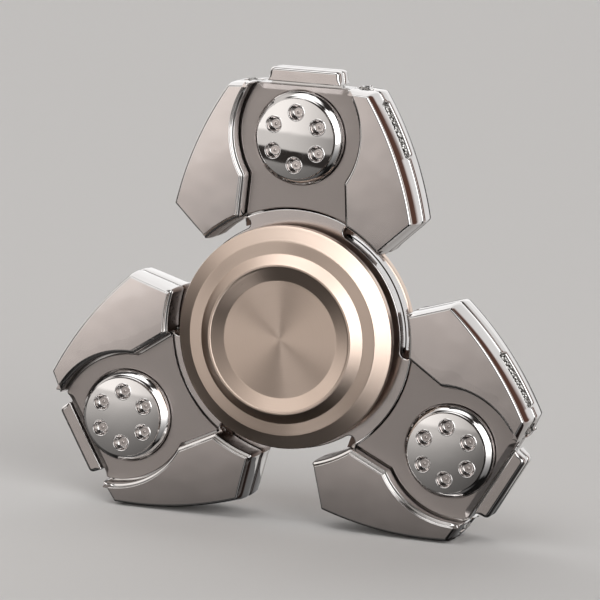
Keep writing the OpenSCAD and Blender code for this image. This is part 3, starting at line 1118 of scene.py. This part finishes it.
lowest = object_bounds()[0][2]
bpy.ops.mesh.primitive_plane_add(size=8, location=(0, 0, lowest))
floor = bpy.context.object
floor.name = "floor"
floor.data.materials.append(plain_surface("pale_floor", (0.62, 0.61, 0.6), 0.9, 0.1))
floor.visible_glossy = floor.visible_shadow = False
print("floor at", round(lowest * 1000, 2), "mm")

# %% [markdown]
# ## A dim room with soft glows
# Chrome has no colour of its own: it shows the room. Here the room is dark, and patches of light
# are painted on it by direction. SIDEWAYS is the angle to the right of straight ahead, BEHIND the
# same seen from the back, and HEIGHT the angle above the table. A rounded edge turns through many
# directions in a millimetre, so each patch becomes one fine bright line along it: white, then a
# dull red, then white again. Looked at directly, past the edge of the floor, the room is a plain
# pale backdrop.

# %% The room's directions
DEGREES = 57.29578  # in one radian
world = bpy.data.worlds.new("studio")
scene.world = world
world.use_nodes = True
room = Wiring(world.node_tree)
room.nodes.clear()
east, north, height = room.split(room.nodes.new("ShaderNodeTexCoord").outputs["Generated"])
SIDEWAYS = room.maths("MULTIPLY", room.maths("ARCTAN2", east, room.maths("MULTIPLY", north, -1)), DEGREES)
HEIGHT = room.maths("MULTIPLY", room.maths("ARCSINE", height), DEGREES)
BEHIND = room.maths("MULTIPLY", room.maths("ARCTAN2", east, north), DEGREES)
print("room has", len(room.nodes), "nodes for its directions")

# %% The glows
WHITE, WARM, ROSE, RED = (1, 1, 1), (1.0, 0.97, 0.94), (1.0, 0.93, 0.89), (1.0, 0.36, 0.2)
DARK_ROOM = (0.035, 0.031, 0.029)


def glow(fades, strength, colour):
    """A soft patch: the product of its fades (angle, dark at, bright at), in its colour."""
    amount = None
    for angle, dark, bright in fades:
        edge = room.fade(angle, dark, bright)
        amount = edge if amount is None else room.maths("MULTIPLY", amount, edge)
    return room.tinted(amount, (0, 0, 0), [c * strength for c in colour])


GLOWS = [
    glow([(SIDEWAYS, 25, 30), (SIDEWAYS, 76, 71), (HEIGHT, -14, -6), (HEIGHT, 46, 38)], 3.2, WHITE),
    glow([(SIDEWAYS, -70, -50), (SIDEWAYS, 40, 20), (HEIGHT, 46, 56), (HEIGHT, 84, 74)], 2.4, WHITE),
    glow([(SIDEWAYS, -110, -85), (SIDEWAYS, -50, -60), (HEIGHT, 12, 20), (HEIGHT, 70, 50)], 0.75, WARM),
    glow([(SIDEWAYS, 108, 112), (SIDEWAYS, 133, 129), (HEIGHT, -40, -10), (HEIGHT, 60, 40)], 0.95, ROSE),
    glow([(SIDEWAYS, 129, 133), (SIDEWAYS, 156, 153), (HEIGHT, -40, -10), (HEIGHT, 60, 40)], 0.09, RED),
    glow([(SIDEWAYS, 148, 156), (SIDEWAYS, 178, 172), (HEIGHT, -25, -5), (HEIGHT, 60, 40)], 0.9, WHITE),
    glow([(BEHIND, -75, -45), (BEHIND, 10, 0), (HEIGHT, -4, 8), (HEIGHT, 80, 60)], 1.2, WHITE),
    glow([(SIDEWAYS, -148, -132), (SIDEWAYS, -94, -106), (HEIGHT, -8, 4), (HEIGHT, 60, 45)], 1.0, WARM),
    glow([(BEHIND, -120, -100), (BEHIND, 120, 100), (HEIGHT, -11, -17)], 0.4, WARM),
]
print("the room has", len(GLOWS), "glows")

# %% Add the glows up
total = None
for patch in GLOWS:
    both = room.nodes.new("ShaderNodeMix")
    both.data_type, both.blend_type = "RGBA", "ADD"
    both.inputs[0].default_value = 1.0
    both.inputs[6].default_value = (*DARK_ROOM, 1)
    if total is not None:
        room.links.new(total, both.inputs[6])
    room.links.new(patch, both.inputs[7])
    total = both.outputs[2]
sky, backdrop = (room.nodes.new("ShaderNodeBackground") for _ in range(2))
room.links.new(total, sky.inputs["Color"])
backdrop.inputs["Color"].default_value = (0.5, 0.49, 0.48, 1)
looked_at = room.nodes.new("ShaderNodeLightPath")
either = room.nodes.new("ShaderNodeMixShader")
room.links.new(looked_at.outputs["Is Camera Ray"], either.inputs[0])
room.links.new(sky.outputs[0], either.inputs[1])
room.links.new(backdrop.outputs[0], either.inputs[2])
room.links.new(either.outputs[0], room.nodes.new("ShaderNodeOutputWorld").inputs[0])
print("the room is wired with", len(room.nodes), "nodes")

# %% [markdown]
# ## One large screen near the spinner
# Flat faces need a light that is close: then each arm sees another part of it, and the faces run
# from bright to grey. The screen's lower part is dimmer than the rest, which draws the soft edge
# across the wings. Its strength is painted with the light's own coordinates, which run from 0 to 1
# over its width and its height.

# %% The front screen
SCREEN_SIZE = (1.0, 0.69)
SCREEN_AT, SCREEN_BACK = Vector((-0.27, -0.7, 0.225)), Vector((0, -1, 0))
SCREEN_BRIGHTNESS = 4
LOWER_STEP, STEP_STRENGTHS = (0.105, 0.135), (0.6, 0.98)
lamp = bpy.data.lights.new("front_screen", "AREA")
lamp.shape, lamp.size, lamp.size_y = "RECTANGLE", *SCREEN_SIZE
lamp.energy = SCREEN_BRIGHTNESS * lamp.size * lamp.size_y
lamp.color = WARM
lamp.use_nodes = True
paint = Wiring(lamp.node_tree)
across, upwards, _ = paint.split(paint.nodes.new("ShaderNodeNewGeometry").outputs["Parametric"])
strength = paint.carried(upwards, *LOWER_STEP, *STEP_STRENGTHS, "SMOOTHSTEP")
for way, dark, bright in ((across, 0, 0.06), (across, 1, 0.4), (upwards, 0, 0.015), (upwards, 1, 0.75)):
    strength = paint.maths("MULTIPLY", strength, paint.fade(way, dark, bright))
paint.links.new(strength, paint.nodes["Emission"].inputs["Strength"])
front_screen = bpy.data.objects.new("front_screen", lamp)
facing = SCREEN_BACK.to_track_quat("Z", "Y").to_matrix().to_4x4()
front_screen.matrix_world = Matrix.Translation(SCREEN_AT) @ facing
front_screen.visible_camera = False
scene.collection.objects.link(front_screen)
print("the front screen is", SCREEN_SIZE, "m")

# %% [markdown]
# ## A black card under the spinner
# Polished metal that stands upright shows the table in front of it. A strip of black gloss, seen
# by reflections only, gives the lower arms their darker, glassier look, while the floor in the
# picture stays pale. It lies just under the floor and casts no shadow.

# %% The black card
CARD_FRONT, CARD_BACK, CARD_WIDTH = -0.18, 0.02, 2.0
CARD_DROP = 0.0002
bpy.ops.mesh.primitive_plane_add(size=1, location=(0, (CARD_FRONT + CARD_BACK) / 2, lowest - CARD_DROP))
card = bpy.context.object
card.name = "black_card"
card.scale = (CARD_WIDTH, CARD_BACK - CARD_FRONT, 1.0)
card.data.materials.append(plain_surface("black_gloss", (0.01, 0.01, 0.01), 0.03, 0.5))
card.visible_camera = card.visible_diffuse = card.visible_shadow = card.visible_transmission = False
print("card reaches from", CARD_FRONT, "to", CARD_BACK, "m")

# %% [markdown]
